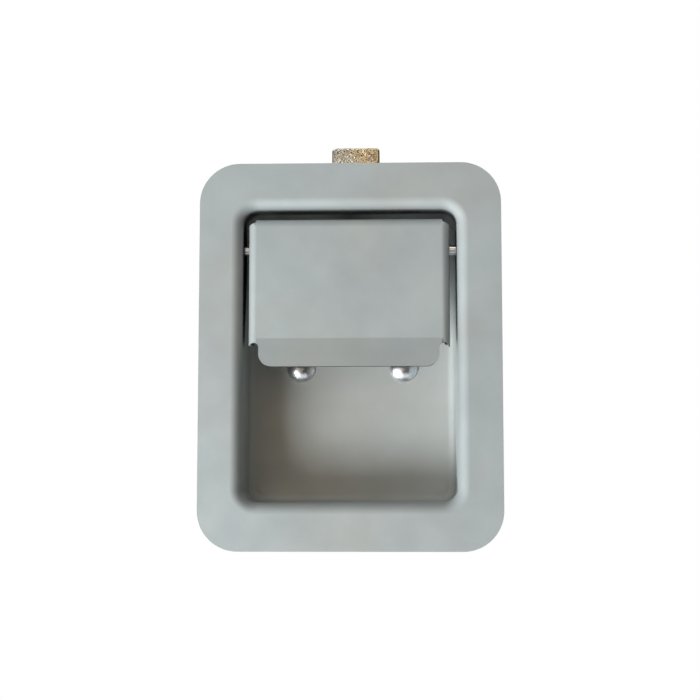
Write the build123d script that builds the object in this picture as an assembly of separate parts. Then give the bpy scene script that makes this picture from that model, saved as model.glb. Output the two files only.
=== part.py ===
from build123d import *
from math import acos, asin, atan2, cos, hypot, pi, radians, sin, tan
import os

# A weld-on paddle latch: pulling the paddle in its recessed pan draws a sprung slam bolt down.
# Frame: X right, Y into the door, Z up (the way the bolt points). The origin is the centre
# of the flange's rear face, which lies on the door skin. Everything is in millimetres.

# Pan: one drawn sheet, whose flange laps the cut-out in the door.
SHEET = 1.6
FLANGE_WIDTH = 95.25
FLANGE_HEIGHT = 122.24
FLANGE_CORNER = 12.7
POCKET_MIDDLE = (-0.15, 0.3)  # X and Z; the draw isn't quite central on the flange
POCKET_WIDTH = 67.5  # inside, just past the mouth's radius
POCKET_HEIGHT = 92.6
POCKET_CORNER = 4.6
POCKET_DEPTH = 22.2  # from the flange's front to the floor's front
POCKET_DRAFT = 0.5  # degrees
MOUTH_RADIUS = 3.5  # seen from the front
FLOOR_RADIUS = 2.5  # inside the pocket
FLOOR_FRONT = POCKET_DEPTH - SHEET
FLOOR_BACK = POCKET_DEPTH

# Paddle: one folded sheet that hangs on the hinge pin.
PADDLE_X = -0.4  # it hangs a little to the left on its pin
PADDLE_WIDTH = 63.5
PADDLE_TOP = 43.45
PADDLE_FRONT = -1.0  # Y of the face's front, just below the flange's
PADDLE_BACK = PADDLE_FRONT + SHEET
PADDLE_BEND = 2.5  # outside radius of its folds
RIM_REACH = 9.0  # Y where the top rim ends
RIM_WIDTH = 59.1
RIM_CORNER = 42.4  # Z where the blank's cut across each upper corner meets the rim's end
EAR_TOP = 41.4  # Z where it meets the ear
EAR_REACH = 11.5  # Y of the ears' rear edge beside the pin
EAR_TOE = 5.5  # Y of their rear edge at the lower end
EAR_END = 3.1
LIP_BEND = 5.7  # Z where the lip turns out
LIP_WIDTH = 56.7
LIP_END = -3.75
LIP_ANGLE = 15.0
LIP_CORNER = 4.2
NOTCH_RADIUS = 1.65  # relief between each ear and the lip
NOTCH_TOP = 3.95

# Hinge pin, which the pan's side walls carry.
PIN_Y = 6.0
PIN_Z = 34.2
PIN_RADIUS = 3.175 / 2
PIN_PLAY = 0.08  # radial
PIN_SEAT = 35.5  # from the pocket's middle to the head's and push nut's inner faces
PIN_HEAD = (3.1, 1.5)  # radius and thickness
PIN_TAIL = 2.6  # length past the push nut's inner face
NUT_RADIUS = 4.5
NUT_SHEET = 0.4
NUT_DOME = 0.9

# Trip lever: a bent strip welded to the paddle's back, whose finger works the bolt.
LEVER_SHEET = 1.9
LEVER_WIDTH = 20.0
LEVER_FOOT = 21.5  # Z of its lower end
LEVER_SHOULDER = 33.5
FINGER_WIDTH = 8.0
FINGER_UNDER = 36.3  # Z of the finger's underside
FINGER_REACH = 23.0  # from the pin's axis to its end
WINDOW = (10.0, 26.6, 38.4)  # the floor's opening for the finger: width, lower and upper Z

# Slam bolt: a bar with a thicker foot, whose shoulder stops under the housing's lip.
GAP = 0.15  # sliding clearance on each side
TRAVEL = 11.5
BOLT_X = 1.1  # the bolt runs a little to the right of the pan's middle
BOLT_WIDTH = 15.875
BOLT_THICK = 12.7
BOLT_TIP = 71.8
BOLT_LAND = 3.0  # flat top before the bevel
BOLT_BEVEL = 45.0
BOLT_STEP = 2.0  # how much thicker the foot is
BOLT_CORNER = 1.3
BOLT_EDGE = 0.6
BOLT_BACK_EDGE = 1.0
BOLT_FRONT = FLOOR_BACK + GAP
BOLT_BACK = BOLT_FRONT + BOLT_THICK
FOOT_BACK = BOLT_BACK + BOLT_STEP
SLOT_WIDTH = 9.4
SLOT_DEPTH = 10.6
LEDGE_GAP = 0.25  # between the finger and the ledge it presses

# Bolt housing: a hat section riveted to the back of the pan's floor.
HOUSING_SHEET = 1.5
HOUSING_BEND = 1.0  # inside radius
HOUSING_WIDTH = 45.0
HOUSING_TOP = 46.0
HOUSING_END = -9.0
TAB_WIDTH = 12.0
TAB_RELIEF = 3.5
STOP_UNDER = HOUSING_TOP - HOUSING_SHEET
SEAT = HOUSING_END + HOUSING_SHEET  # Z where the bolt spring stands
BOLT_FOOT = SEAT + TRAVEL + 0.5

# Bolt spring, its bore and its guide.
SPRING_Y = (BOLT_FRONT + FOOT_BACK) / 2
SPRING_BORE = (4.6, 14.0)  # radius and depth
BOLT_WIRE = 0.8
BOLT_COIL = 3.5  # mean radius
BOLT_TURNS = 5.5
WIRE_SIDES = 6  # both springs' wire is drawn with flats, which keeps them light
GUIDE_RADIUS = 2.5
GUIDE_TOP = 5.5
GUIDE_SHANK = 1.6

# Paddle spring: a torsion spring on the pin, its two arms spread between paddle and floor.
PADDLE_WIRE = 1.0
PADDLE_COIL = 2.35  # mean radius
PADDLE_TURNS = 2  # whole turns between the arms
PADDLE_COIL_X = 24.2
PADDLE_PITCH = 1.08
FRONT_ARM = (PADDLE_BACK + 0.6, 40.6)  # Y and Z of the arms' ends
REAR_ARM = (FLOOR_FRONT - 0.6, 39.0)

# Rivets that hold the housing.
RIVET_X = 16.75
RIVET_ROWS = (-2.2, 36.0)
RIVET_SHANK = 4.76 / 2
RIVET_HOLE = 4.9 / 2
RIVET_HEAD = (4.7, 2.5)  # radius and height of the dome
RIVET_FLATS = 3  # cones that make up the dome's profile
RIVET_TAIL = (3.7, 1.6)


def front_plane(y):
    """A sketch plane seen from the front at depth y: X to the right, Z up."""
    return Plane(origin=(0, y, 0), x_dir=(1, 0, 0), z_dir=(0, -1, 0))


def block(x, y, z):
    """A box given by its lower and upper limits on each axis."""
    size = (x[1] - x[0], y[1] - y[0], z[1] - z[0])
    centre = ((x[0] + x[1]) / 2, (y[0] + y[1]) / 2, (z[0] + z[1]) / 2)
    return Pos(*centre) * Box(*size)


def rod(radius, length, start, axis):
    """A cylinder from its start point along an axis."""
    return extrude(Plane(origin=start, z_dir=axis) * Circle(radius), length)


def strip(points, radii, thickness, width):
    """A strip of sheet folded along a side view of (Y, Z) points; the sheet is to their left."""
    path = FilletPolyline(*points, radius=radii)
    section = make_face(offset(path, thickness, side=Side.LEFT, closed=True).edges())
    return extrude(Plane.YZ.offset(-width / 2) * section, width)


def flat_edges(shape, y):
    """The edges of a loop at depth y around the pocket, without the flange's outline."""
    inside = shape.edges().filter_by_position(Axis.Y, y, y)
    inside = inside.filter_by_position(Axis.X, 5 - FLANGE_WIDTH / 2, FLANGE_WIDTH / 2 - 5)
    return inside.filter_by_position(Axis.Z, 5 - FLANGE_HEIGHT / 2, FLANGE_HEIGHT / 2 - 5)


def tray(margin, front, back):
    """The pocket's tapered block, a margin larger all round, between two depths."""
    slope = tan(radians(POCKET_DRAFT))
    grow = margin / cos(radians(POCKET_DRAFT)) + (MOUTH_RADIUS - SHEET - front) * slope
    outline = RectangleRounded(POCKET_WIDTH + 2 * grow, POCKET_HEIGHT + 2 * grow, POCKET_CORNER + grow)
    return extrude(front_plane(front) * (Pos(*POCKET_MIDDLE) * outline), -(back - front), taper=POCKET_DRAFT)


def rivet_places():
    """The (X, Z) of each rivet."""
    return [(x, z) for z in RIVET_ROWS for x in (-RIVET_X, RIVET_X)]


def make_pan():
    flange = front_plane(-SHEET) * RectangleRounded(FLANGE_WIDTH, FLANGE_HEIGHT, FLANGE_CORNER)
    outside = tray(SHEET, 0, FLOOR_BACK)
    outside = fillet(flat_edges(outside, FLOOR_BACK), FLOOR_RADIUS + SHEET)
    pan = extrude(flange, -SHEET) + outside
    pan = fillet(flat_edges(pan, 0), MOUTH_RADIUS - SHEET)
    hollow = tray(0, -SHEET, FLOOR_FRONT)
    hollow = fillet(flat_edges(hollow, FLOOR_FRONT), FLOOR_RADIUS)
    pan -= hollow
    pan = fillet(flat_edges(pan, -SHEET), MOUTH_RADIUS)
    pan -= rod(PIN_RADIUS + PIN_PLAY, 2 * PIN_SEAT + 2, (-PIN_SEAT - 1, PIN_Y, PIN_Z), (1, 0, 0))
    width, low, high = WINDOW
    window = Pos(BOLT_X, (low + high) / 2) * RectangleRounded(width, high - low, 1.0)
    pan -= extrude(front_plane(FLOOR_FRONT - 1) * window, -SHEET - 2)
    for x, z in rivet_places():
        pan -= rod(RIVET_HOLE, SHEET + 2, (x, FLOOR_FRONT - 1, z), (0, 1, 0))
    return pan


def folded(inset):
    """The paddle's outer form, inset by a thickness: its face with the top and sides turned back."""
    half = PADDLE_WIDTH / 2 - inset
    top = PADDLE_TOP - inset
    front = PADDLE_FRONT + inset
    form = block((-half, half), (front, EAR_REACH + 5 * inset), (EAR_END, top))
    edges = form.edges().group_by(Axis.Y)[0]
    return fillet(edges.sort_by(Axis.Z)[1:], PADDLE_BEND - inset)


def paddle_lip():
    """The finger lip: a strip turned outwards below the face, its lower corners rounded."""
    flat = PADDLE_WIDTH / 2 - PADDLE_BEND  # half width before the side folds
    turn = LIP_BEND - 0.35
    run = (turn - LIP_END) / cos(radians(LIP_ANGLE))
    lower = (PADDLE_FRONT - run * sin(radians(LIP_ANGLE)), LIP_END)
    sheet = strip([(PADDLE_FRONT, LIP_BEND), (PADDLE_FRONT, turn), lower], 1.5, SHEET, 2 * flat)
    tongue = Pos(0, (LIP_BEND + LIP_END) / 2) * Rectangle(LIP_WIDTH, LIP_BEND - LIP_END)
    tongue = fillet(tongue.vertices().group_by(Axis.Y)[0], LIP_CORNER)
    notch = NOTCH_TOP - NOTCH_RADIUS
    neck = Pos(0, (LIP_BEND + notch) / 2) * Rectangle(2 * flat, LIP_BEND - notch)
    return sheet & extrude(front_plane(0) * (tongue + neck), 10, both=True)


def make_paddle():
    half = PADDLE_WIDTH / 2
    before = PADDLE_FRONT - 1
    ear = make_face(
        Plane.YZ
        * Polyline(
            (before, EAR_END),
            (EAR_TOE, EAR_END),
            (EAR_REACH, PIN_Z - 9),
            (EAR_REACH, EAR_TOP),
            (before, EAR_TOP),
            close=True,
        )
    )
    ear = fillet(ear.vertices().group_by(Axis.Y)[-1], 4)
    rim = Polyline(
        (half, EAR_TOP - 1),
        (half, EAR_TOP),
        (RIM_WIDTH / 2, RIM_CORNER),
        (RIM_WIDTH / 2, PADDLE_TOP),
        (-RIM_WIDTH / 2, PADDLE_TOP),
        (-RIM_WIDTH / 2, RIM_CORNER),
        (-half, EAR_TOP),
        (-half, EAR_TOP - 1),
        close=True,
    )
    rim = extrude(front_plane(before) * make_face(rim), before - RIM_REACH)
    paddle = (folded(0) - folded(SHEET)) & (extrude(ear, half, both=True) + rim)
    flat = half - PADDLE_BEND
    paddle -= block((-flat, flat), (before, EAR_REACH), (EAR_END, LIP_BEND))
    paddle += paddle_lip()
    for side in (-1, 1):
        centre = (side * (LIP_WIDTH / 2 + NOTCH_RADIUS), before, NOTCH_TOP - NOTCH_RADIUS)
        paddle -= rod(NOTCH_RADIUS, EAR_REACH - before, centre, (0, 1, 0))
    paddle -= rod(PIN_RADIUS + PIN_PLAY, PADDLE_WIDTH + 2, (-half - 1, PIN_Y, PIN_Z), (1, 0, 0))
    return Pos(PADDLE_X, 0, 0) * paddle


def make_trip_lever():
    bend = (PADDLE_BACK + LEVER_SHEET, FINGER_UNDER)
    path = [(bend[0], LEVER_FOOT), bend, (PIN_Y + FINGER_REACH, FINGER_UNDER)]
    lever = strip(path, 1.0, LEVER_SHEET, LEVER_WIDTH)
    tip = lever.edges().filter_by(Axis.X).group_by(Axis.Y)[-1]
    lever = fillet(tip, LEVER_SHEET / 2 - 0.05)
    foot = Pos(0, (LEVER_FOOT + LEVER_SHOULDER) / 2) * Rectangle(LEVER_WIDTH, LEVER_SHOULDER - LEVER_FOOT)
    foot = fillet(foot.vertices(), 2.5)
    neck = Pos(0, LEVER_SHOULDER) * Rectangle(FINGER_WIDTH, 20)
    blank = foot + neck
    return Pos(BOLT_X, 0, 0) * (lever & extrude(front_plane(0) * blank, -60))


def make_hinge_pin():
    radius, head = PIN_HEAD
    seat = POCKET_MIDDLE[0] - PIN_SEAT
    pin = rod(PIN_RADIUS, 2 * PIN_SEAT + PIN_TAIL, (seat, PIN_Y, PIN_Z), (1, 0, 0))
    pin = chamfer(pin.edges().sort_by(Axis.X)[-1], 0.4)
    cap = rod(radius, head, (seat, PIN_Y, PIN_Z), (-1, 0, 0))
    cap = chamfer(cap.edges().sort_by(Axis.X)[0], 0.7)
    return pin + cap


def make_push_nut():
    """A dished disc of spring steel, its inner prongs gripping the pin's tail."""
    rim = NUT_RADIUS - 1.6
    bore = PIN_RADIUS + 0.02
    section = Polyline(
        (NUT_RADIUS, 0),
        (NUT_RADIUS, NUT_SHEET),
        (rim, NUT_SHEET),
        (bore, NUT_DOME + NUT_SHEET),
        (bore, NUT_DOME),
        (rim, 0),
        close=True,
    )
    nut = revolve(make_face(Plane.XZ * section), Axis.Z)
    for turn in range(3):
        slit = block((0, rim), (-0.3, 0.3), (-1, NUT_DOME + 1))
        nut -= Rot(0, 0, 120 * turn) * slit
    return Plane(origin=(POCKET_MIDDLE[0] + PIN_SEAT, PIN_Y, PIN_Z), z_dir=(1, 0, 0)).location * nut


def coil(radius, pitch, turns, wire, frame):
    """Wire wound about the frame's Z axis, starting on its X axis."""
    path = Helix(pitch, pitch * turns, radius)
    section = Plane(origin=path @ 0, z_dir=path % 0) * RegularPolygon(wire / 2, WIRE_SIDES)
    return frame.location * sweep(section, path, is_frenet=True)


def make_paddle_spring():
    """Two turns and a part, from the arm behind the paddle's top to the arm on the floor."""
    arms = []
    for (y, z), side in ((FRONT_ARM, 1), (REAR_ARM, -1)):
        reach = hypot(y - PIN_Y, z - PIN_Z)
        angle = atan2(z - PIN_Z, y - PIN_Y) + side * acos(PADDLE_COIL / reach)
        arms.append((angle, (y, z)))
    (first, front), (last, rear) = arms
    turns = PADDLE_TURNS + ((last - first) / (2 * pi)) % 1
    spin = Plane(
        origin=(PADDLE_COIL_X, PIN_Y, PIN_Z), x_dir=(0, cos(first), sin(first)), z_dir=(1, 0, 0)
    )
    spring = coil(PADDLE_COIL, PADDLE_PITCH, turns, PADDLE_WIRE, spin)
    for x, angle, (y, z) in (
        (PADDLE_COIL_X, first, front),
        (PADDLE_COIL_X + PADDLE_PITCH * turns, last, rear),
    ):
        root = Vector(x, PIN_Y + PADDLE_COIL * cos(angle), PIN_Z + PADDLE_COIL * sin(angle))
        arm = Vector(x, y, z) - root
        spring += rod(PADDLE_WIRE / 2, arm.length, root, arm)
    return spring


def make_bolt_spring():
    height = BOLT_FOOT + SPRING_BORE[1] - SEAT
    pitch = height / BOLT_TURNS
    low = Plane(origin=(0, SPRING_Y, SEAT))
    wire = coil(BOLT_COIL, pitch, BOLT_TURNS, BOLT_WIRE, low)
    wire &= block((-5, 5), (SPRING_Y - 5, SPRING_Y + 5), (SEAT, SEAT + height))
    return Pos(BOLT_X, 0, 0) * wire


def make_spring_guide():
    """A post riveted into the housing's end plate, inside the bolt spring."""
    tail = (GUIDE_SHANK + 0.9, 1.2)
    outline = Polyline(
        (0, GUIDE_TOP),
        (GUIDE_RADIUS, GUIDE_TOP),
        (GUIDE_RADIUS, SEAT),
        (GUIDE_SHANK, SEAT),
        (GUIDE_SHANK, HOUSING_END),
        (tail[0], HOUSING_END),
        (tail[0], HOUSING_END - tail[1]),
        (0, HOUSING_END - tail[1]),
        close=True,
    )
    post = revolve(make_face(Plane.XZ * outline), Axis.Z)
    rings = post.edges().filter_by(GeomType.CIRCLE).sort_by(Axis.Z)
    return Pos(BOLT_X, SPRING_Y, 0) * chamfer(rings[-1], 1.0)


def make_slam_bolt():
    shoulder = STOP_UNDER - 0.1
    drop = (BOLT_THICK - BOLT_LAND) * tan(radians(BOLT_BEVEL))
    side_view = Polyline(
        (BOLT_FRONT, BOLT_FOOT),
        (BOLT_FRONT, BOLT_TIP),
        (BOLT_FRONT + BOLT_LAND, BOLT_TIP),
        (BOLT_BACK, BOLT_TIP - drop),
        (BOLT_BACK, shoulder),
        (FOOT_BACK, shoulder),
        (FOOT_BACK, BOLT_FOOT),
        close=True,
    )
    bolt = extrude(Plane.YZ.offset(-BOLT_WIDTH / 2) * make_face(side_view), BOLT_WIDTH)
    tip = bolt.edges().filter_by_position(Axis.Z, BOLT_TIP - drop, BOLT_TIP)
    tip = tip.filter_by(lambda edge: abs(edge.center().X) > 1)
    bolt = fillet(tip.filter_by(Axis.Z, reverse=True), BOLT_CORNER)
    bolt = fillet(bolt.edges().group_by(Axis.Y)[0].sort_by(Axis.Z)[1:], BOLT_EDGE)
    shank = bolt.edges().filter_by(Axis.Z).filter_by_position(Axis.Y, BOLT_BACK - 0.01, BOLT_BACK + 0.01)
    bolt = fillet(bolt.edges().group_by(Axis.Y)[-1] + shank, BOLT_BACK_EDGE)
    ledge = FINGER_UNDER - LEDGE_GAP
    slot_top = ledge + TRAVEL + LEVER_SHEET + 1.2
    slot = Pos(0, (ledge + slot_top) / 2) * RectangleRounded(SLOT_WIDTH, slot_top - ledge, 0.5)
    bolt -= extrude(front_plane(BOLT_FRONT) * slot, -SLOT_DEPTH)
    radius, depth = SPRING_BORE
    bolt -= rod(radius, depth, (0, SPRING_Y, BOLT_FOOT), (0, 0, 1))
    return Pos(BOLT_X, 0, 0) * bolt


def make_bolt_housing():
    half = BOLT_WIDTH / 2 + GAP
    back = FOOT_BACK + GAP
    outer_bend = HOUSING_BEND + HOUSING_SHEET
    hat = FilletPolyline(
        (-HOUSING_WIDTH / 2, FLOOR_BACK),
        (BOLT_X - half, FLOOR_BACK),
        (BOLT_X - half, back),
        (BOLT_X + half, back),
        (BOLT_X + half, FLOOR_BACK),
        (HOUSING_WIDTH / 2, FLOOR_BACK),
        radius=[outer_bend, HOUSING_BEND, HOUSING_BEND, outer_bend],
    )
    section = make_face(offset(hat, HOUSING_SHEET, side=Side.LEFT, closed=True).edges())
    housing = extrude(Pos(0, 0, HOUSING_END) * section, HOUSING_TOP - HOUSING_END)
    corners = housing.edges().filter_by(Axis.Y)
    corners = corners.group_by(Axis.X)[0] + corners.group_by(Axis.X)[-1]
    housing = fillet(corners, 4)
    for low, high in ((HOUSING_END, HOUSING_END + TAB_RELIEF), (HOUSING_TOP - TAB_RELIEF, HOUSING_TOP)):
        relief = TAB_WIDTH / 2 + 1
        housing -= block((BOLT_X - relief, BOLT_X + relief), (FOOT_BACK, back + 5), (low, high))
    stop = [(BOLT_BACK + GAP, STOP_UNDER), (back, STOP_UNDER), (back, HOUSING_TOP - TAB_RELIEF)]
    floor = [(back, HOUSING_END + TAB_RELIEF), (back, SEAT), (BOLT_FRONT + 0.5, SEAT)]
    for path in (stop, floor):
        housing += Pos(BOLT_X, 0, 0) * strip(path, HOUSING_BEND, HOUSING_SHEET, TAB_WIDTH)
    housing -= rod(GUIDE_SHANK + 0.05, 5, (BOLT_X, SPRING_Y, HOUSING_END - 1), (0, 0, 1))
    for x, z in rivet_places():
        housing -= rod(RIVET_HOLE, HOUSING_SHEET + 2, (x, FLOOR_BACK - 1, z), (0, 1, 0))
    return housing


def make_rivet():
    """One rivet about the Y axis, its dome on the floor's front and its tail on the housing."""
    head, dome = RIVET_HEAD
    tail, upset = RIVET_TAIL
    back = FLOOR_BACK + HOUSING_SHEET
    ball = (head**2 + dome**2) / (2 * dome)
    spread = asin(head / ball)
    arc = [
        (ball * sin(angle), FLOOR_FRONT - dome + ball * (1 - cos(angle)))
        for angle in (spread * step / RIVET_FLATS for step in range(1, RIVET_FLATS + 1))
    ]
    outline = Polyline(
        (0, FLOOR_FRONT - dome),
        *arc,
        (RIVET_SHANK, FLOOR_FRONT),
        (RIVET_SHANK, back),
        (tail, back),
        (tail, back + upset),
        (0, back + upset),
        close=True,
    )
    return revolve(make_face(outline), Axis.Y)


def make_rivets():
    rivet = make_rivet()
    return Compound(children=[Pos(x, 0, z) * rivet for x, z in rivet_places()])


PARTS = {
    "pan": make_pan,
    "paddle": make_paddle,
    "trip_lever": make_trip_lever,
    "hinge_pin": make_hinge_pin,
    "push_nut": make_push_nut,
    "paddle_spring": make_paddle_spring,
    "bolt_housing": make_bolt_housing,
    "slam_bolt": make_slam_bolt,
    "bolt_spring": make_bolt_spring,
    "spring_guide": make_spring_guide,
    "rivets": make_rivets,
}


def main():
    os.makedirs("parts", exist_ok=True)
    for name, make in PARTS.items():
        export_step(make(), f"parts/{name}.step")


if __name__ == "__main__":
    main()
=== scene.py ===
import math

import bpy
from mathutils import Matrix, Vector


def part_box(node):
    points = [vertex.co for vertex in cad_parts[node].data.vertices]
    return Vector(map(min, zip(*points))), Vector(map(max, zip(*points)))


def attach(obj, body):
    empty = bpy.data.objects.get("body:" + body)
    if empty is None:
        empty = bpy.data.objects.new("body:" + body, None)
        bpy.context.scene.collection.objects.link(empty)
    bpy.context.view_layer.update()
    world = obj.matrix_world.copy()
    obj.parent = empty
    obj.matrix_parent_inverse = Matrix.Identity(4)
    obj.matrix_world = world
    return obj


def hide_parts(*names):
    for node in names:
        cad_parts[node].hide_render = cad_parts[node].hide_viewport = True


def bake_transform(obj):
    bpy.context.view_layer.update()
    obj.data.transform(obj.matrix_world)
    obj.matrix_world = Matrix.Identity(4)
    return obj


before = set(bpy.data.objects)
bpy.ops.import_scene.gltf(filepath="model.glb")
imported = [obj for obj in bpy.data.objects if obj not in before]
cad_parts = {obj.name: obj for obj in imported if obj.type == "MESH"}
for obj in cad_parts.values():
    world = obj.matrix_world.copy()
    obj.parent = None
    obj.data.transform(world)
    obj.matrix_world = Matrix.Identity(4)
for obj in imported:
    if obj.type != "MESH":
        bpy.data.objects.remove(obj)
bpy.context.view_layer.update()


# ---- Pan -----------------------------------------------------------------------------------
# One sheet of cold-rolled steel, deep drawn into a recessed tray with a flat welding flange.
# It is left bare: the soft grey of a matt rolled surface, a little cloudy and in places warmer
# where the drawing oil has dried on it.

MM = 0.001  # in metres


def linear(code):
    """An sRGB hex colour such as 'b6bcbc' as linear RGBA."""
    parts = [int(code[i : i + 2], 16) / 255 for i in (0, 2, 4)]
    return (*[v / 12.92 if v <= 0.04045 else ((v + 0.055) / 1.055) ** 2.4 for v in parts], 1.0)


def add(tree, kind, sockets=None, **settings):
    """Adds a node with its settings, and gives its inputs values or links by name or number."""
    made = tree.nodes.new(kind)
    for name, value in settings.items():
        setattr(made, name, value)
    for name, value in (sockets or {}).items():
        if isinstance(value, bpy.types.NodeSocket):
            tree.links.new(value, made.inputs[name])
        else:
            made.inputs[name].default_value = value
    return made


def new_material(name):
    """A bare node material: its tree, its Principled shader and its object coordinates."""
    made = bpy.data.materials.new(name)
    made.use_nodes = True
    tree = made.node_tree
    tree.nodes.clear()
    shader = add(tree, "ShaderNodeBsdfPrincipled")
    add(tree, "ShaderNodeOutputMaterial", {"Surface": shader.outputs[0]})
    place = add(tree, "ShaderNodeTexCoord").outputs["Object"]
    return made, tree, shader, place


def patchy(tree, place, size_mm, low, high, detail=2.0, seed=0.0):
    """Noise in patches of about one size, stretched between two values."""
    noise = add(
        tree,
        "ShaderNodeTexNoise",
        {"Vector": place, "W": seed, "Scale": 1 / (size_mm * MM), "Detail": detail},
        noise_dimensions="4D",
    )
    spread = {"Value": noise.outputs[0], "From Min": 0.3, "From Max": 0.7}
    spread |= {"To Min": low, "To Max": high}
    return add(tree, "ShaderNodeMapRange", spread).outputs[0]


MATT = (0.8, 0.86)  # the bare sheet's roughness, from its smoothest patches to its roughest
GRAIN_DEPTH = 0.01 * MM


def rolled_steel(name, dull, bright, seed):
    """Bare cold-rolled sheet: matt grey metal with clouds 20 mm wide, warm stains and a fine grain.
    Gives the shader, the tree and the colour so far, before the shade painted into gaps."""
    made, tree, shader, place = new_material(name)
    clouds = {0: patchy(tree, place, 22, 0.0, 1.0, 2.0, seed), 6: linear(dull), 7: linear(bright)}
    cloudy = add(tree, "ShaderNodeMix", clouds, data_type="RGBA").outputs[2]
    stains = {0: patchy(tree, place, 38, -0.2, 0.3, 3.0, seed + 5), 6: cloudy, 7: linear("b2aea6")}
    colour = add(tree, "ShaderNodeMix", stains, data_type="RGBA").outputs[2]
    matt = patchy(tree, place, 9, *MATT, 3.0, seed + 3)
    tree.links.new(matt, shader.inputs["Roughness"])
    shader.inputs["Metallic"].default_value = 1.0
    # The real grain is about 0.05 mm; it is drawn at 0.3 mm, the finest that shows.
    grain = patchy(tree, place, 0.3, 0.0, 1.0, 2.0, seed + 7)
    bump = add(tree, "ShaderNodeBump", {"Height": grain, "Strength": 0.25, "Distance": GRAIN_DEPTH})
    tree.links.new(bump.outputs[0], shader.inputs["Normal"])
    return made, tree, shader, place, colour


def painted_gap_shade(tree, colour, reach_mm=9):
    """This colour with painted shade: darkened almost to black in gaps and folds narrower than this
    reach.
    """
    reach = {"Distance": reach_mm * MM}
    sky = add(tree, "ShaderNodeAmbientOcclusion", reach, samples=8).outputs["AO"]
    ends = {"Value": sky, "From Min": 0.5, "From Max": 0.2}
    shut_in = add(tree, "ShaderNodeMapRange", ends, interpolation_type="SMOOTHSTEP").outputs[0]
    # Painted shade: a near-black colour mixed in where ambient occlusion finds the surface shut in.
    gap_shade = {0: shut_in, 6: colour, 7: linear("1d1e1e")}
    return add(tree, "ShaderNodeMix", gap_shade, data_type="RGBA").outputs[2]


def dress(node, material):
    """Gives a CAD node its finish."""
    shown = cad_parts[node]
    shown.data.materials.clear()
    shown.data.materials.append(material)


pan_steel, tree, shader, place, colour = rolled_steel(
    "bare cold-rolled steel, pan", "b4bcbe", "bbc3c5", 1.0
)
# The floor is painted lighter and a little warmer than the flange and the drawn walls: painted
# light.
deep = add(tree, "ShaderNodeSeparateXYZ", {0: place}).outputs["Y"]
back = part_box("pan")[1].y
ends = {"Value": deep, "From Min": back - 4 * MM, "From Max": back - 2 * MM}
at_floor = add(tree, "ShaderNodeMapRange", ends, interpolation_type="SMOOTHSTEP").outputs[0]
painted_floor_light = {0: 0.34, 6: colour, 7: linear("dfe0dc")}
painted_floor_light = add(tree, "ShaderNodeMix", painted_floor_light, data_type="RGBA").outputs[2]
floored = {0: at_floor, 6: colour, 7: painted_floor_light}
colour = add(tree, "ShaderNodeMix", floored, data_type="RGBA").outputs[2]
# Painted shade in the pan's gaps and folds goes over this colour.
tree.links.new(painted_gap_shade(tree, colour), shader.inputs["Base Color"])
dress("pan", pan_steel)

# ---- Paddle --------------------------------------------------------------------------------
# The hand plate, folded from the same bare sheet: a face, a top rim, two ears for the pin,
# and a finger lip turned outwards below.
paddle_steel, tree, shader, place, colour = rolled_steel(
    "bare cold-rolled steel, paddle", "b2babc", "b9c1c2", 12.0
)
# Faces that point downwards, the lip's lower edge above all, get painted shade, much darker than
# the rolled sheet.
facing = add(tree, "ShaderNodeTexCoord").outputs["Normal"]
down = add(tree, "ShaderNodeSeparateXYZ", {0: facing}).outputs["Z"]
ends = {"Value": down, "From Min": -0.75, "From Max": -0.9}
facing_down = add(tree, "ShaderNodeMapRange", ends, interpolation_type="SMOOTHSTEP").outputs[0]
underside_shade = {0: facing_down, 6: colour, 7: linear("3c3d3c")}
colour = add(tree, "ShaderNodeMix", underside_shade, data_type="RGBA").outputs[2]
# Painted shade in the paddle's gaps and folds goes over this colour.
tree.links.new(painted_gap_shade(tree, colour), shader.inputs["Base Color"])
dress("paddle", paddle_steel)


# ---- Hinge pin and push nut ----------------------------------------------------------------
# A headed steel pin through the pan's walls and the paddle's ears, bright zinc plated, held
# by a spring-steel push nut on its tail.

def plated(name, code, roughness, spread, mottle_mm, seed):
    """Plated steel: an even metal colour, whose gloss varies in patches."""
    made, tree, shader, place = new_material(name)
    shader.inputs["Base Color"].default_value = linear(code)
    shader.inputs["Metallic"].default_value = 1.0
    gloss = patchy(tree, place, mottle_mm, roughness - spread, roughness + spread, 2.0, seed)
    tree.links.new(gloss, shader.inputs["Roughness"])
    return made


bright_zinc = plated("bright zinc plate", "d6d9dc", 0.3, 0.05, 1.5, 2.0)
dress("hinge_pin", bright_zinc)
dress("push_nut", plated("blued spring steel strip", "83868b", 0.3, 0.06, 2.0, 3.0))


# ---- Rivets --------------------------------------------------------------------------------
# Four steel rivets that hold the housing behind the floor: smooth domes in front, upset tails
# behind, bright zinc plated and a little dulled.

def turned(profile, sides):
    """A solid of revolution about Y from (radius, Y) points; a radius of 0 closes it at a pole."""
    points, faces, rings = [], [], []
    for radius, y in profile:
        count = sides if radius > 0 else 1
        rings.append(range(len(points), len(points) + count))
        for step in range(count):
            angle = 2 * math.pi * step / sides
            points.append((radius * math.cos(angle), y, radius * math.sin(angle)))
    for first, second in zip(rings, rings[1:]):
        for step in range(sides):
            after = (step + 1) % sides
            corners = [first[step % len(first)], second[step % len(second)]]
            corners += [second[after % len(second)], first[after % len(first)]]
            faces.append(list(dict.fromkeys(corners)))
    mesh = bpy.data.meshes.new("turned")
    mesh.from_pydata(points, [], faces)
    mesh.shade_smooth()
    return mesh


def placed(name, mesh):
    """An object at the origin with this mesh."""
    made = bpy.data.objects.new(name, mesh)
    bpy.context.scene.collection.objects.link(made)
    return made


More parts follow.
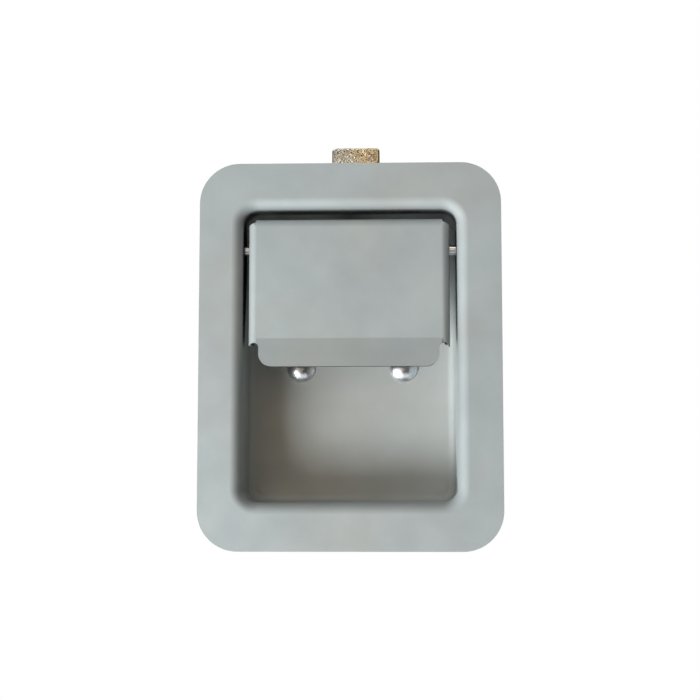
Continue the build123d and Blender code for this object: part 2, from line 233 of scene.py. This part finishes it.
def node_tree(name, inputs):
    """A Geometry Nodes tree with named inputs: the tree, its inputs and what closes it."""
    tree = bpy.data.node_groups.new(name, "GeometryNodeTree")
    for label, kind in inputs.items():
        tree.interface.new_socket(name=label, in_out="INPUT", socket_type="NodeSocket" + kind)
    tree.interface.new_socket(name="Mesh", in_out="OUTPUT", socket_type="NodeSocketGeometry")

    def close(shape, finish):
        solid = add(tree, "GeometryNodeRealizeInstances", {0: shape}).outputs[0]
        dressed = add(tree, "GeometryNodeSetMaterial", {0: solid, "Material": finish}).outputs[0]
        add(tree, "NodeGroupOutput", {0: dressed})

    return tree, add(tree, "NodeGroupInput").outputs, close


def grown(name, tree, mesh, sizes):
    """Runs a node tree on a mesh with these sizes, and keeps the plain mesh that it gives."""
    host = placed(name + "_host", mesh)
    modifier = host.modifiers.new("nodes", "NODES")
    modifier.node_group = tree
    for item in tree.interface.items_tree:
        if item.name in sizes:
            modifier[item.identifier] = sizes[item.name]
    ready = host.evaluated_get(bpy.context.evaluated_depsgraph_get())
    made = placed(name, bpy.data.meshes.new_from_object(ready))
    bpy.data.objects.remove(host)
    return made


HEAD = (4.7 * MM, 2.5 * MM)  # radius and height
TAIL = (3.7 * MM, 1.6 * MM)
SHANK = 2.38 * MM


def cap(radius, height, y, up, steps=12):
    """A rivet dome's (radius, Y) points from its pole to its rim, standing on Y = y."""
    ball = (radius**2 + height**2) / (2 * height)
    whole = math.asin(radius / ball)
    arc = [whole * n / steps for n in range(steps + 1)]
    return [
        (ball * math.sin(a), y + up * (height - ball * (1 - math.cos(a)))) for a in arc
    ]


low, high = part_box("rivets")
front, rear = low.y + HEAD[1], high.y - TAIL[1]
edge = 0.15 * MM
profile = cap(HEAD[0], HEAD[1] - edge, front - edge, -1)
profile += [(HEAD[0], front - 0.4 * edge), (HEAD[0] - edge, front), (SHANK, front), (SHANK, rear)]
profile += [(TAIL[0], rear)] + cap(*TAIL, rear, 1)[::-1]

tree, given, close = node_tree(
    "four rivets",
    {"Rivet": "Geometry", "Across": "Float", "Up": "Float", "Finish": "Material"},
)
pattern = {"Size X": given["Across"], "Size Y": given["Up"], "Vertices X": 2, "Vertices Y": 2}
corners = add(tree, "GeometryNodeMeshGrid", pattern)
middle = (low + high) / 2
upright = {0: corners.outputs[0], "Translation": (middle.x, 0, middle.z)}
upright["Rotation"] = (math.pi / 2, 0, 0)
spots = add(tree, "GeometryNodeTransform", upright)
rivet_at = {"Points": spots.outputs[0], "Instance": given["Rivet"]}
each = add(tree, "GeometryNodeInstanceOnPoints", rivet_at)
close(each.outputs[0], given["Finish"])
sizes = {"Across": high.x - low.x - 2 * HEAD[0], "Up": high.z - low.z - 2 * HEAD[0]}
sizes["Finish"] = bright_zinc
rivets = grown("rivet_heads", tree, turned(profile, 48), sizes)
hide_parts("rivets")
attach(rivets, "frame")

# ---- Trip lever, housing and spring guide --------------------------------------------------
# The pressed lever behind the paddle, the folded hat that carries the bolt and the post that
# keeps its spring straight, all clear zinc plated: cooler and glossier than the bare sheet.
clear_zinc = plated("clear zinc plate", "bcc2c8", 0.42, 0.07, 4.0, 5.0)
for node in ("trip_lever", "bolt_housing", "spring_guide"):
    dress(node, clear_zinc)

# ---- Slam bolt -----------------------------------------------------------------------------
# Pressed and sintered from iron powder, then plated in yellow zinc: a coarse bright grain,
# golden where the passivation is thick and grey-green where it is thin.
bolt_plate, tree, shader, place = new_material("yellow zinc on sintered steel")
# The powder's grains are about 0.1 mm; they are drawn at 0.28 mm, so that they show.
grains = add(tree, "ShaderNodeTexVoronoi", {"Vector": place, "Scale": 1 / (0.28 * MM)})
spark = add(tree, "ShaderNodeSeparateColor", {0: grains.outputs["Color"]}).outputs[0]
# The passivation is thicker, so more golden, towards the right.
low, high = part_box("slam_bolt")
across = add(tree, "ShaderNodeSeparateXYZ", {0: place}).outputs["X"]
ends = {"Value": across, "From Min": low.x, "From Max": high.x}
sideways = add(tree, "ShaderNodeMapRange", ends, interpolation_type="SMOOTHSTEP").outputs[0]
mottle = {0: sideways, 1: patchy(tree, place, 3, -0.3, 0.3, 3.0, 4.0)}
golden = add(tree, "ShaderNodeMath", mottle, operation="ADD").outputs[0]
hollows = {0: golden, 6: linear("b9bdb0"), 7: linear("d0b98f")}
hollows = add(tree, "ShaderNodeMix", hollows, data_type="RGBA").outputs[2]
faces = {0: golden, 6: linear("ffffff"), 7: linear("fff3d2")}
faces = add(tree, "ShaderNodeMix", faces, data_type="RGBA").outputs[2]
colour = add(tree, "ShaderNodeMix", {0: spark, 6: hollows, 7: faces}, data_type="RGBA").outputs[2]
# The rounded long edges are painted dark: a painted reflection of the dark surroundings.
middle = (low.x + high.x) / 2
off = add(tree, "ShaderNodeMath", {0: across, 1: middle}, operation="SUBTRACT").outputs[0]
off = add(tree, "ShaderNodeMath", {0: off}, operation="ABSOLUTE").outputs[0]
half = high.x - middle
ends = {"Value": off, "From Min": half - 0.7 * MM, "From Max": half - 0.2 * MM}
outer = add(tree, "ShaderNodeMapRange", ends, interpolation_type="SMOOTHSTEP").outputs[0]
facing = add(tree, "ShaderNodeTexCoord").outputs["Normal"]
sideward = add(tree, "ShaderNodeSeparateXYZ", {0: facing}).outputs["X"]
sideward = add(tree, "ShaderNodeMath", {0: sideward}, operation="ABSOLUTE").outputs[0]
# The flat sides are left out, so only the rounded edges get the painted reflection.
ends = {"Value": sideward, "From Min": 0.97, "From Max": 0.85}
rounded = add(tree, "ShaderNodeMapRange", ends, interpolation_type="SMOOTHSTEP").outputs[0]
edge_shade = add(tree, "ShaderNodeMath", {0: outer, 1: rounded}, operation="MULTIPLY").outputs[0]
shaded_edges = {0: edge_shade, 6: colour, 7: linear("4c4a48")}
shaded_edges = add(tree, "ShaderNodeMix", shaded_edges, data_type="RGBA").outputs[2]
tree.links.new(shaded_edges, shader.inputs["Base Color"])
shader.inputs["Metallic"].default_value = 1.0
tree.links.new(patchy(tree, place, 0.6, 0.22, 0.36, 2.0, 6.0), shader.inputs["Roughness"])
# Each grain faces its own way by up to about fifteen degrees, so that some of them glint.
centred = {0: grains.outputs["Color"], 1: (0.5, 0.5, 0.5)}
tilt = add(tree, "ShaderNodeVectorMath", centred, operation="SUBTRACT")
tilt = add(
    tree, "ShaderNodeVectorMath", {0: tilt.outputs[0], "Scale": 0.6}, operation="SCALE"
).outputs[0]
straight = add(tree, "ShaderNodeNewGeometry").outputs["Normal"]
leaning = add(tree, "ShaderNodeVectorMath", {0: straight, 1: tilt}, operation="ADD").outputs[0]
leaning = add(tree, "ShaderNodeVectorMath", {0: leaning}, operation="NORMALIZE").outputs[0]
tree.links.new(leaning, shader.inputs["Normal"])
dress("slam_bolt", bolt_plate)


# ---- Bolt spring ---------------------------------------------------------------------------
# A closed-end compression spring of drawn wire, between the housing's end plate and the bore
# of the bolt, which shortens it by its whole travel.

wire = plated("drawn spring wire", "8c8e92", 0.34, 0.05, 1.0, 9.0)
COIL = 3.5 * MM  # mean radius
BOLT_WIRE = 0.8 * MM
TURNS = 7.5

measures = dict.fromkeys(("Radius", "Wire", "Turns", "Length"), "Float")
tree, given, close = node_tree("closed-end coil", {**measures, "Finish": "Material"})
low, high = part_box("bolt_spring")
length = high.z - low.z
round_and_round = {"Resolution": 28, "Rotations": given["Turns"], "Height": 1.0}
round_and_round |= {"Start Radius": given["Radius"], "End Radius": given["Radius"]}
line = add(tree, "GeometryNodeCurveSpiral", round_and_round).outputs[0]
along = add(
    tree, "ShaderNodeSeparateXYZ", {0: add(tree, "GeometryNodeInputPosition").outputs[0]}
).outputs
# One turn at each end lies closed on the next, so the height first rises by one wire a turn.
rise = add(tree, "ShaderNodeFloatCurve", {"Value": along["Z"]})
knots = rise.mapping.curves[0].points
for x, y in ((1 / TURNS, BOLT_WIRE / length), (1 - 1 / TURNS, 1 - BOLT_WIRE / length)):
    knots.new(x, y).handle_type = "VECTOR"
rise.mapping.update()
inner = {0: given["Length"], 1: given["Wire"]}
inner = add(tree, "ShaderNodeMath", inner, operation="SUBTRACT").outputs[0]
half = add(tree, "ShaderNodeMath", {0: given["Wire"], 1: 0.5}, operation="MULTIPLY").outputs[0]
height = {0: rise.outputs[0], 1: inner, 2: half}
height = add(tree, "ShaderNodeMath", height, operation="MULTIPLY_ADD").outputs[0]
spot = add(tree, "ShaderNodeCombineXYZ", {"X": along["X"], "Y": along["Y"], "Z": height}).outputs[0]
line = add(tree, "GeometryNodeSetPosition", {0: line, "Position": spot}).outputs[0]
ring = add(tree, "GeometryNodeCurvePrimitiveCircle", {"Resolution": 12, "Radius": half}).outputs[0]
tube = add(
    tree, "GeometryNodeCurveToMesh", {0: line, "Profile Curve": ring, "Fill Caps": True}
).outputs[0]
foot = ((low.x + high.x) / 2, (low.y + high.y) / 2, low.z)
standing = add(tree, "GeometryNodeTransform", {0: tube, "Translation": foot}).outputs[0]
close(standing, given["Finish"])
sizes = {"Radius": COIL, "Wire": BOLT_WIRE, "Turns": TURNS, "Length": length, "Finish": wire}
bolt_spring = grown("bolt_spring_coil", tree, bpy.data.meshes.new("none"), sizes)
bolt_spring.data.shade_smooth()
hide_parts("bolt_spring")
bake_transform(bolt_spring)


# ---- Paddle spring -------------------------------------------------------------------------
# A torsion spring of the same wire, wound on the hinge pin. Its coil and rear arm stay with the
# pan, while the front arm presses behind the paddle's top and turns with it, winding the coil.

PADDLE_WIRE = 1.0 * MM
PADDLE_COIL = 2.35 * MM
PITCH = 1.08 * MM
FRONT_END = (1.2 * MM, 40.6 * MM)  # Y and Z where each arm ends
REAR_END = (20.0 * MM, 39.0 * MM)
WINDING = 75  # degrees of coil that the front arm takes along, so that it never parts from it


def bent_wire(name, points, thickness, body):
    """A round wire through these points, which rides on a body."""
    curve = bpy.data.curves.new(name + "_line", "CURVE")
    curve.dimensions = "3D"
    curve.bevel_depth = thickness / 2
    curve.use_fill_caps = True
    line = curve.splines.new("POLY")
    line.points.add(len(points) - 1)
    for knot, spot in zip(line.points, points):
        knot.co = (*spot, 1.0)
    host = placed(name + "_line", curve)
    ready = host.evaluated_get(bpy.context.evaluated_depsgraph_get())
    made = placed(name, bpy.data.meshes.new_from_object(ready))
    bpy.data.objects.remove(host)
    made.data.materials.clear()
    made.data.materials.append(wire)
    made.data.shade_smooth()
    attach(made, body)
    return made


pin_low, pin_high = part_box("hinge_pin")
pin = (pin_low + pin_high) / 2
low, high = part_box("paddle_spring")


def leaves_at(end, side):
    """The angle about the pin where a straight arm to this end is tangent to the coil."""
    reach = math.hypot(end[0] - pin.y, end[1] - pin.z)
    return math.atan2(end[1] - pin.z, end[0] - pin.y) + side * math.acos(PADDLE_COIL / reach)


def wound(start, sweep):
    """Points on the coil from its start through this angle, every six degrees."""
    count = round(math.degrees(sweep) / 6)
    turned_by = [sweep * n / count for n in range(count + 1)]
    return [
        (
            low.x + PADDLE_WIRE / 2 + PITCH * a / (2 * math.pi),
            pin.y + PADDLE_COIL * math.cos(start + a),
            pin.z + PADDLE_COIL * math.sin(start + a),
        )
        for a in turned_by
    ]


first, last = leaves_at(FRONT_END, 1), leaves_at(REAR_END, -1)
coil = wound(first, 4 * math.pi + (last - first) % (2 * math.pi))
stays = bent_wire("paddle_spring_coil", coil + [(coil[-1][0], *REAR_END)], PADDLE_WIRE, "frame")
arm = [(coil[0][0], *FRONT_END)] + wound(first, math.radians(WINDING))
# A hair thinner, so that where it lies in the coil the coil's own surface shows.
bent_wire("paddle_spring_arm", arm, 0.98 * PADDLE_WIRE, "paddle")
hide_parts("paddle_spring")


# ---- Studio --------------------------------------------------------------------------------
# A pale floor and white surroundings, a large soft lamp low on the left, a strip lamp above,
# a weak warm fill in front and another on the right, and dark cloth that keeps the rest off.

def plane(name, corners, material):
    """A flat sheet of the studio."""
    mesh = bpy.data.meshes.new(name)
    mesh.from_pydata(corners, [], [(0, 1, 2, 3)])
    mesh.materials.append(material)
    made = placed(name, mesh)
    return made


def white_behind(tree, other):
    """A shader that is white to the eye and in metal and glass, and the other one elsewhere."""
    path = add(tree, "ShaderNodeLightPath").outputs
    seen = path["Is Camera Ray"]
    for kind in ("Is Glossy Ray", "Is Transmission Ray"):
        seen = add(tree, "ShaderNodeMath", {0: seen, 1: path[kind]}, operation="MAXIMUM").outputs[0]
    glow = add(tree, "ShaderNodeEmission", {"Color": (1, 1, 1, 1), "Strength": 1.0}).outputs[0]
    return add(tree, "ShaderNodeMixShader", {0: seen, 1: other, 2: glow}).outputs[0]


paper = bpy.data.materials.new("white paper")
paper.use_nodes = True
tree = paper.node_tree
tree.nodes.clear()
diffuse = add(tree, "ShaderNodeBsdfDiffuse", {"Color": linear("f2f2f0")}).outputs[0]
add(tree, "ShaderNodeOutputMaterial", {"Surface": white_behind(tree, diffuse)})
FLOOR = -1.4
plane("floor", [(-4, -4, FLOOR), (4, -4, FLOOR), (4, 4, FLOOR), (-4, 4, FLOOR)], paper)

world = bpy.data.worlds.new("studio")
bpy.context.scene.world = world
world.use_nodes = True
tree = world.node_tree
tree.nodes.clear()
ambient = add(tree, "ShaderNodeBackground", {"Color": (1, 1, 1, 1), "Strength": 0.5}).outputs[0]
add(tree, "ShaderNodeOutputWorld", {"Surface": white_behind(tree, ambient)})

cloth, tree, shader, place = new_material("dark brown flag cloth")
weave = patchy(tree, place, 60, 0.0, 1.0)
threads = {0: weave, 6: linear("42403b"), 7: linear("45423d")}
threads = add(tree, "ShaderNodeMix", threads, data_type="RGBA").outputs[2]
tree.links.new(threads, shader.inputs["Base Color"])
shader.inputs["Roughness"].default_value = 1.0
LEFT, RIGHT, FAR, NEAR, TOP, FOOT = -1.6, 1.2, -1.9, 0.3, 1.6, -1.39
flags = (
    plane(
        "flag_front",
        [(LEFT, FAR, FOOT), (RIGHT, FAR, FOOT), (RIGHT, FAR, TOP), (LEFT, FAR, TOP)],
        cloth,
    ),
    plane(
        "flag_right",
        [(RIGHT, FAR, FOOT), (RIGHT, NEAR, FOOT), (RIGHT, NEAR, TOP), (RIGHT, FAR, TOP)],
        cloth,
    ),
    plane(
        "flag_top",
        [(LEFT, FAR, TOP), (RIGHT, FAR, TOP), (RIGHT, NEAR, TOP), (LEFT, NEAR, TOP)],
        cloth,
    ),
)
for flag in flags:
    flag.visible_camera = False


def aim(obj, spot, target):
    """Puts a lamp or the camera here, looking there."""
    obj.location = spot
    obj.rotation_euler = (Vector(target) - Vector(spot)).to_track_quat("-Z", "Y").to_euler()


def soft_lamp(name, spot, width, height, power, colour):
    """A softbox aimed at the latch."""
    lamp = bpy.data.lights.new(name, "AREA")
    lamp.shape = "RECTANGLE"
    lamp.size, lamp.size_y, lamp.energy = width, height, power
    lamp.color = linear(colour)[:3]
    made = bpy.data.objects.new(name, lamp)
    bpy.context.scene.collection.objects.link(made)
    aim(made, spot, (0, 0, 0))


soft_lamp("key", (-0.95, -0.83, -0.82), 0.88, 0.78, 35.5, "ffffff")
soft_lamp("strip", (-0.38, -0.65, 1.3), 1.4, 0.6, 6.6, "ffffff")
soft_lamp("fill", (-0.25, -1.45, 0.3), 1.2, 1.2, 4.8, "ffe6cc")
soft_lamp("side_fill", (1.1, -0.6, 0.0), 0.8, 1.0, 0.8, "ffe6cc")

camera = bpy.data.cameras.new("camera")
camera.lens, camera.sensor_width = 77.14, 36.0
eye = bpy.data.objects.new("camera", camera)
bpy.context.scene.collection.objects.link(eye)
aim(eye, (0.016476, -0.467987, -0.047592), (0, -0.0016, 0.0015))
bpy.context.scene.camera = eye
bpy.context.scene.view_settings.view_transform = "Standard"
